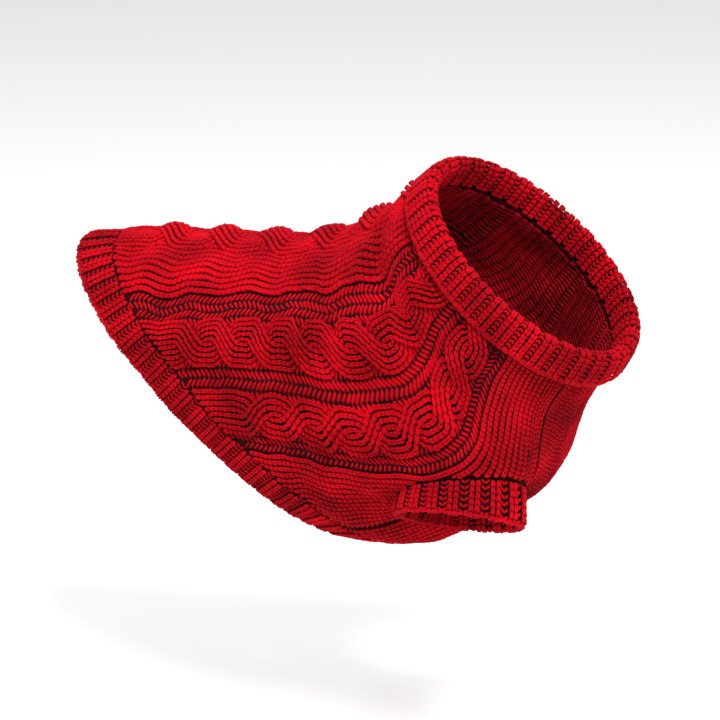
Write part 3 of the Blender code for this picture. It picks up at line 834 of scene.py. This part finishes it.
def loop_reader(rings, normals):
    """point_at for a band given by rings, read between its points; its girth; the row of each ring."""
    closed = np.concatenate((rings, rings[:, :1]), axis=1)
    closed_normals = np.concatenate((normals, normals[:, :1]), axis=1)
    risen = np.linalg.norm(np.diff(rings, axis=0), axis=2).mean(axis=1)
    travelled = running_sum(risen)
    round_it = running_sum(np.linalg.norm(np.diff(closed, axis=1), axis=2).mean(axis=0))
    girth = round_it[-1]

    def point_at(share, row):
        line = np.interp(row * ROW, travelled, np.arange(len(travelled)))
        step = np.interp(share, round_it / girth, np.arange(len(round_it)))
        return grid_read(closed, line, step), unit(grid_read(closed_normals, line, step))

    return point_at, girth, travelled / ROW


def ring_normals(rings):
    """Outward directions of a band given by rings that run outside upward, over, and down inside."""
    around = np.roll(rings, -1, axis=1) - np.roll(rings, 1, axis=1)
    along = np.gradient(rings, axis=0)
    return unit(np.cross(around, along))


def faced_out(rings, normals):
    """The directions, turned over if they point into the band at its first ring."""
    away = rings[0] - rings[0].mean(axis=0)
    return normals if float((away * normals[0]).sum()) > 0.0 else -normals


def hem_lines():
    """Around of the hem's lines at its edge and at its seam: they run square to the edge."""
    edge_around = np.linspace(-0.5, 0.5, HEM_POINTS + 1)[:-1]
    edge, _ = surface(edge_around, hem_along(edge_around))
    tangent = unit(np.roll(edge, -1, axis=0) - np.roll(edge, 1, axis=0))
    seam_around_at = edge_around.copy()
    for _ in range(12):
        seam_point, _ = surface(seam_around_at, hem_along(seam_around_at, HEM_WIDTH))
        off_square = ((seam_point - edge) * tangent).sum(axis=1)
        seam_around_at -= 0.8 * off_square / CHART_GIRTH
    return edge_around, seam_around_at


def hem_rings():
    """Rings of the hem: from its seam down the outer face, round the free edge, up the inner face."""
    edge_around, seam_around_at = hem_lines()
    rings = []
    for share, depth in HEM_SECTION:
        around = edge_around + (seam_around_at - edge_around) * share
        point, normal = surface(around, hem_along(around, HEM_WIDTH * share))
        rings.append(point + normal * depth * RIB_WALL)
    return np.array(rings)


def hem_apron():
    """A ring just inside the panels, ahead of the hem seam."""
    edge_around, seam_around_at = hem_lines()
    around = edge_around + (seam_around_at - edge_around) * HEM_APRON
    point, normal = surface(around, hem_along(around, HEM_WIDTH * HEM_APRON))
    return point - normal * APRON_DEPTH


def cuff_rings(side):
    """Rings of a cuff: from its seam down the outer face, round the free edge, up the inner face."""
    angle = 2.0 * math.pi * np.arange(CUFF_POINTS) / CUFF_POINTS
    rings = []
    for share, outward in CUFF_SECTION:
        drop = SEAM_GAP + share * (CUFF_HEIGHT - SEAM_GAP)
        rings.append(leg_ring(side, angle, drop, outward * RIB_WALL + share * CUFF_FLARE))
    return np.array(rings)


def cuff_apron(side):
    """A ring just inside the panels, above the cuff's seam."""
    angle = 2.0 * math.pi * np.arange(CUFF_POINTS) / CUFF_POINTS
    return leg_ring(side, angle, -CUFF_APRON, -APRON_DEPTH)


def neck_axis():
    (spine, right, throat, left), _ = surface(np.array((0.0, 0.25, 0.5, 0.75)), np.ones(4))
    axis = unit(np.cross(throat - spine, right - left))
    return axis if axis[2] > 0.0 else -axis


def collar_rings():
    """Rings of the collar: up the outer layer from its free edge, over the fold, down the inner layer."""
    around = np.arange(COLLAR_POINTS) / COLLAR_POINTS
    seam, _ = surface(around, np.ones_like(around))
    axis = neck_axis()
    outward = unit(np.cross(unit(np.roll(seam, -1, axis=0) - np.roll(seam, 1, axis=0)), axis))
    if float(outward[0] @ (seam[0] - seam.mean(axis=0))) < 0.0:
        outward = -outward
    step = 0.01
    before, _ = surface(around, 1.0 - step)
    below = 1.0 - step * COLLAR_OVERLAP / np.linalg.norm(seam - before, axis=-1)
    edge, edge_normal = surface(around, below)
    rings = [edge + edge_normal * (COLLAR_FLARE + 0.8 * COLLAR_WALL)]
    for share, out in COLLAR_SECTION:
        flare = COLLAR_FLARE * max(0.0, 0.9 - share) if out > 0.5 else 0.0
        reach = COLLAR_AIR * (out > 0) + out * COLLAR_WALL + flare
        rings.append(seam + axis * share * COLLAR_HEIGHT + outward * reach)
    return np.array(rings)


def collar_apron():
    """A ring within the panels' thickness, below the neck seam."""
    around = np.arange(COLLAR_POINTS) / COLLAR_POINTS
    point, normal = surface(around, 1.0 - COLLAR_APRON / CHART_LENGTH)
    return point - normal * COLLAR_APRON_DEPTH


def band_shell(name, rings, normals, apron, at_end):
    """A closed sheet under a band's yarn, from the rings inward.

    The apron is one more ring, before the first or at the end, that closes the seam from inside.
    """
    if at_end:
        rings = np.concatenate((rings, apron[None]))
        normals = np.concatenate((normals, normals[-1:]))
    else:
        rings = np.concatenate((apron[None], rings))
        normals = np.concatenate((normals[:1], normals))
    under = rings - normals * SHELL_DEPTH
    deep = under - normals * SHELL_THICKNESS
    lines, steps = rings.shape[:2]
    points = np.concatenate((under.reshape(-1, 3), deep.reshape(-1, 3)))
    faces = []
    offset = lines * steps
    for line in range(lines - 1):
        for step in range(steps):
            after = (step + 1) % steps
            a, b = line * steps + step, line * steps + after
            c, d = (line + 1) * steps + after, (line + 1) * steps + step
            faces.append((a, b, c, d))
            faces.append((offset + d, offset + c, offset + b, offset + a))
    for step in range(steps):
        after = (step + 1) % steps
        faces.append((offset + step, offset + after, after, step))
        top = (lines - 1) * steps
        faces.append((top + step, top + after, offset + top + after, offset + top + step))
    made = bpy.data.meshes.new(name)
    made.from_pydata([tuple(point) for point in points], [], faces)
    made.validate()
    tidy = bmesh.new()
    tidy.from_mesh(made)
    bmesh.ops.recalc_face_normals(tidy, faces=tidy.faces)
    tidy.to_mesh(made)
    tidy.free()
    made.shade_smooth()
    return made


# ---------------------------------------------------------------- sheets under the yarn
SURFACE_TREE_STEP = 2
SEAM_LAP = 1.5 * MM           # each sheet laps its neighbours at the seams by this much
SHEET_EDGE = 5.0 * MM         # longer edges of a packed panel are cut in three
BACK_DEPTHS = (1.1 * MM, 1.9 * MM)      # of a sheet's outer and inner faces, under the body's outer face
BELLY_DEPTHS = (1.3 * MM, 2.1 * MM)


def surface_tree():
    """Nearest-place lookup on the outer face."""
    points = SURFACE[::SURFACE_TREE_STEP, ::SURFACE_TREE_STEP].reshape(-1, 3)
    normals = SURFACE_NORMALS[::SURFACE_TREE_STEP, ::SURFACE_TREE_STEP].reshape(-1, 3)
    tree = KDTree(len(points))
    for number, point in enumerate(points):
        tree.insert(Vector(point), number)
    tree.balance()
    return tree, points, normals


def panel_shell(node, lookup, depths):
    """A thinner copy of a packed panel, that follows the creases and leaves room for the yarn."""
    tree, points, normals = lookup
    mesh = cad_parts[node].data.copy()
    edit = bmesh.new()
    edit.from_mesh(mesh)
    bmesh.ops.remove_doubles(edit, verts=edit.verts, dist=0.02 * MM)
    long_edges = [edge for edge in edit.edges if edge.calc_length() > SHEET_EDGE]
    bmesh.ops.subdivide_edges(edit, edges=long_edges, cuts=2, use_grid_fill=True)
    bmesh.ops.triangulate(edit, faces=edit.faces)
    edit.normal_update()
    moves = []
    for vert in edit.verts:
        _, number, _ = tree.find(vert.co)
        normal = Vector(normals[number])
        depth = (Vector(points[number]) - vert.co).dot(normal)
        target = depths[0] if vert.normal.dot(normal) > 0.0 else depths[1]
        sideways = Vector((0.0, 0.0, 0.0))
        for face in vert.link_faces:
            if abs(face.normal.dot(normal)) < 0.5:
                sideways += face.normal - normal * face.normal.dot(normal)
        if sideways.length > 0.0:
            sideways = sideways.normalized() * SEAM_LAP
        moves.append(normal * (depth - target) + sideways)
    for vert, move in zip(edit.verts, moves):
        vert.co += move
    bmesh.ops.recalc_face_normals(edit, faces=edit.faces)
    edit.to_mesh(mesh)
    edit.free()
    mesh.shade_smooth()
    return mesh


# ---------------------------------------------------------------- materials
# Dark and bright colours of the wool, and its sheen. The inside copy is the same yarn made darker and duller:
# painted shade on the sweater's inner face.
KNIT_LOOK = ((0.13, 0.0003, 0.002), (0.66, 0.001, 0.010), 0.10)
SHADED_INSIDE_LOOK = ((0.11, 0.0006, 0.002), (0.46, 0.002, 0.010), 0.06)
# Near-black painted shade for the sheets under the yarn: it darkens the gaps between strands, where shade
# falls.
PAINTED_SHADE_COLOURS = ((0.008, 0.0003, 0.0006), (0.034, 0.0007, 0.002))
SHEEN_TINT = (1.0, 0.10, 0.20, 1.0)
FIBRE_SHARE = 0.35            # of the two noises that choose between dark and bright
DYE_SHARE = 0.65


def new_material(name):
    made = bpy.data.materials.new(name)
    made.use_nodes = True
    nodes = made.node_tree.nodes
    nodes.clear()
    output = nodes.new("ShaderNodeOutputMaterial")
    shader = nodes.new("ShaderNodeBsdfPrincipled")
    made.node_tree.links.new(shader.outputs["BSDF"], output.inputs["Surface"])
    return made, nodes, made.node_tree.links, shader


def add_node(nodes, kind, **inputs):
    """A new node with some of its inputs set."""
    made = nodes.new("ShaderNode" + kind)
    for name, value in inputs.items():
        made.inputs[name].default_value = value
    return made


def add_ramp(nodes, dark, bright, start=0.0, end=1.0):
    ramp = nodes.new("ShaderNodeValToRGB")
    for element, position, colour in zip(ramp.color_ramp.elements, (start, end), (dark, bright)):
        element.position = position
        element.color = (*colour, 1.0)
    return ramp


def add_bump(nodes, links, texture, strength, distance):
    bump = add_node(nodes, "Bump", Strength=strength, Distance=distance)
    links.new(texture.outputs["Fac"], bump.inputs["Height"])
    return bump


def yarn_material(name, dark, bright, sheen):
    """Twisted wool: ply bump along the strand, fibre noise, uneven dye and a soft halo."""
    made, nodes, links, shader = new_material(name)
    place = add_node(nodes, "TexCoord")
    ply_place = add_node(nodes, "Mapping", Rotation=(0.0, 0.0, math.radians(32.0)))
    ply = add_node(nodes, "TexWave", Scale=1.3, Distortion=1.2, Detail=2.0)
    fibre = add_node(nodes, "TexNoise", Scale=2600.0, Detail=3.0)
    dye = add_node(nodes, "TexNoise", Scale=38.0, Detail=4.0)
    links.new(place.outputs["UV"], ply_place.inputs["Vector"])
    links.new(ply_place.outputs["Vector"], ply.inputs["Vector"])
    links.new(place.outputs["Object"], fibre.inputs["Vector"])
    links.new(place.outputs["Object"], dye.inputs["Vector"])
    blend = nodes.new("ShaderNodeMath")
    blend.operation = "MULTIPLY_ADD"
    blend.inputs[1].default_value = FIBRE_SHARE
    soften = nodes.new("ShaderNodeMath")
    soften.operation = "MULTIPLY"
    soften.inputs[1].default_value = DYE_SHARE
    ramp = add_ramp(nodes, dark, bright, 0.30, 0.72)
    links.new(fibre.outputs["Fac"], blend.inputs[0])
    links.new(dye.outputs["Fac"], soften.inputs[0])
    links.new(soften.outputs["Value"], blend.inputs[2])
    links.new(blend.outputs["Value"], ramp.inputs["Fac"])
    links.new(ramp.outputs["Color"], shader.inputs["Base Color"])
    ply_bump = add_bump(nodes, links, ply, 0.55, 0.35 * MM)
    fibre_bump = add_bump(nodes, links, fibre, 0.6, 0.2 * MM)
    links.new(ply_bump.outputs["Normal"], fibre_bump.inputs["Normal"])
    links.new(fibre_bump.outputs["Normal"], shader.inputs["Normal"])
    shader.inputs["Roughness"].default_value = 0.85
    shader.inputs["Specular IOR Level"].default_value = 0.05
    shader.inputs["Sheen Weight"].default_value = sheen
    shader.inputs["Sheen Roughness"].default_value = 0.45
    shader.inputs["Sheen Tint"].default_value = SHEEN_TINT
    return made


def painted_shade_material(name):
    """Painted shade: near-black colour for the sheets seen in the gaps between the strands, where the
    strands' shade falls.
    """
    made, nodes, links, shader = new_material(name)
    place = add_node(nodes, "TexCoord")
    noise = add_node(nodes, "TexNoise", Scale=900.0, Detail=3.0)
    ramp = add_ramp(nodes, *PAINTED_SHADE_COLOURS)
    bump = add_bump(nodes, links, noise, 0.8, 0.3 * MM)
    links.new(place.outputs["Object"], noise.inputs["Vector"])
    links.new(noise.outputs["Fac"], ramp.inputs["Fac"])
    links.new(ramp.outputs["Color"], shader.inputs["Base Color"])
    links.new(bump.outputs["Normal"], shader.inputs["Normal"])
    shader.inputs["Roughness"].default_value = 0.95
    shader.inputs["Specular IOR Level"].default_value = 0.1
    return made


# ---------------------------------------------------------------- pieces
def add_piece(name, mesh, material):
    mesh.materials.clear()
    mesh.materials.append(material)
    piece = bpy.data.objects.new(name, mesh)
    bpy.context.scene.collection.objects.link(piece)
    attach(piece, "root")
    return piece


def add_yarn(name, yarn, material):
    return add_piece(name, yarn.mesh(name), material)


def make_sweater():
    knit = yarn_material("red_wool", *KNIT_LOOK)
    # The inside yarn takes the darker copy of the wool: painted shade on the sweater's inner face.
    inside = yarn_material("red_wool_inside_shaded", *SHADED_INSIDE_LOOK)
    # The sheets under the yarn wear painted shade: near-black colour in the gaps between strands.
    under = painted_shade_material("wool_shadow")
    lookup = surface_tree()

    # The panel sheets wear the near-black painted shade between the strands.
    back_shell = panel_shell("back_panel", lookup, BACK_DEPTHS)
    back_sheet = add_piece("back_sheet", back_shell, under)
    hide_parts("back_panel")
    belly_shell = panel_shell("belly_panel", lookup, BELLY_DEPTHS)
    belly_sheet = add_piece("belly_sheet", belly_shell, under)
    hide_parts("belly_panel")

    back_pieces = [add_yarn("back_yarn_" + word, yarn, knit)
                   for word, yarn in make_back_yarn().items()]
    belly_pieces = [add_yarn("belly_yarn", make_belly_yarn(), knit)]
    back_inside, belly_inside = make_inner_yarn()
    back_pieces.append(add_yarn("back_yarn_inside", back_inside, inside))
    belly_pieces.append(add_yarn("belly_yarn_inside", belly_inside, inside))

    make_band("hem", "hem", "hem_band", hem_rings(), hem_apron(), 5, knit, under)
    make_band("collar", "collar", "collar", collar_rings(), collar_apron(), 0, knit, under)
    for name, side in (("cuff_right", RIGHT), ("cuff_left", LEFT)):
        make_band(name, "cuff", name, cuff_rings(side), cuff_apron(side), 5, knit, under)


def make_band(name, rib_name, node, rings, apron, edge_ring, knit, under):
    """One ribbed band: a thin closed sheet and its yarn."""
    normals = faced_out(rings, ring_normals(rings))
    point_at, girth, ring_rows = loop_reader(rings, normals)
    yarn = Yarn()
    rib_band(yarn, point_at, girth, np.arange(0.35, ring_rows[-1] - 0.6), *table_row(RIBS, rib_name))
    edge_chain(yarn, point_at, girth, ring_rows[edge_ring])
    shell = band_shell(name + "_sheet", rings, normals, apron, rib_name == "collar")
    # This sheet wears the near-black painted shade seen between the ribs.
    sheet = add_piece(name + "_sheet", shell, under)
    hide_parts(node)
    ribs = add_yarn(name + "_yarn", yarn, knit)


# ---------------------------------------------------------------- floor, light and camera
CAMERA_AZIMUTH = 19.0
CAMERA_ELEVATION = 14.0
CAMERA_DISTANCE = 2.2
CAMERA_WIDTH = 0.385          # width of the view at the object
CAMERA_AIM = (-0.025, -0.080)           # rightward and upward in the view, from the origin
FLOOR_Z = -0.300
FLOOR_REACH = 6.0
# Name, place, size and power of each light, and the place that all of them face.
LIGHTS = (("key", (0.9, -1.4, 1.7), 0.8, 62.0), ("fill", (-1.6, -1.3, 0.5), 1.4, 7.0),
          ("top", (-0.1, 0.5, 1.9), 1.2, 20.0))
LIGHTS_FACE = (-0.02, 0.0, -0.09)
WORLD_STRENGTH = 0.70


def camera_axes():
    azimuth = math.radians(CAMERA_AZIMUTH)
    elevation = math.radians(CAMERA_ELEVATION)
    back = Vector((math.sin(azimuth) * math.cos(elevation), -math.cos(azimuth) * math.cos(elevation),
                   math.sin(elevation)))
    right = Vector((math.cos(azimuth), math.sin(azimuth), 0.0))
    return back, right, back.cross(right)


def make_camera():
    back, right, up = camera_axes()
    target = right * CAMERA_AIM[0] + up * CAMERA_AIM[1]
    data = bpy.data.cameras.new("camera")
    data.sensor_width = 36.0
    data.lens = data.sensor_width * CAMERA_DISTANCE / CAMERA_WIDTH
    data.dof.use_dof = False
    camera = bpy.data.objects.new("camera", data)
    camera.location = target + back * CAMERA_DISTANCE
    camera.rotation_euler = (-back).to_track_quat("-Z", "Y").to_euler()
    bpy.context.scene.collection.objects.link(camera)
    bpy.context.scene.camera = camera


def make_light(name, location, size, power):
    data = bpy.data.lights.new(name, "AREA")
    data.shape = "DISK"
    data.size = size
    data.energy = power
    lamp = bpy.data.objects.new(name, data)
    lamp.location = location
    lamp.rotation_euler = (Vector(LIGHTS_FACE) - Vector(location)).to_track_quat("-Z", "Y").to_euler()
    bpy.context.scene.collection.objects.link(lamp)


def make_studio():
    for light in LIGHTS:
        make_light(*light)
    world = bpy.data.worlds.new("studio")
    world.use_nodes = True
    background = world.node_tree.nodes["Background"]
    background.inputs["Color"].default_value = (1.0, 1.0, 1.0, 1.0)
    background.inputs["Strength"].default_value = WORLD_STRENGTH
    bpy.context.scene.world = world
    bpy.context.scene.view_settings.view_transform = "Standard"
    mesh = bpy.data.meshes.new("floor")
    corners = [(x * FLOOR_REACH, y * FLOOR_REACH, FLOOR_Z) for x, y in ((-1, -1), (1, -1), (1, 1), (-1, 1))]
    mesh.from_pydata(corners, [], [(0, 1, 2, 3)])
    made, _, _, shader = new_material("studio_floor")
    shader.inputs["Base Color"].default_value = (0.88, 0.88, 0.88, 1.0)
    shader.inputs["Roughness"].default_value = 0.8
    mesh.materials.append(made)
    floor = bpy.data.objects.new("floor", mesh)
    bpy.context.scene.collection.objects.link(floor)


make_sweater()
make_studio()
make_camera()
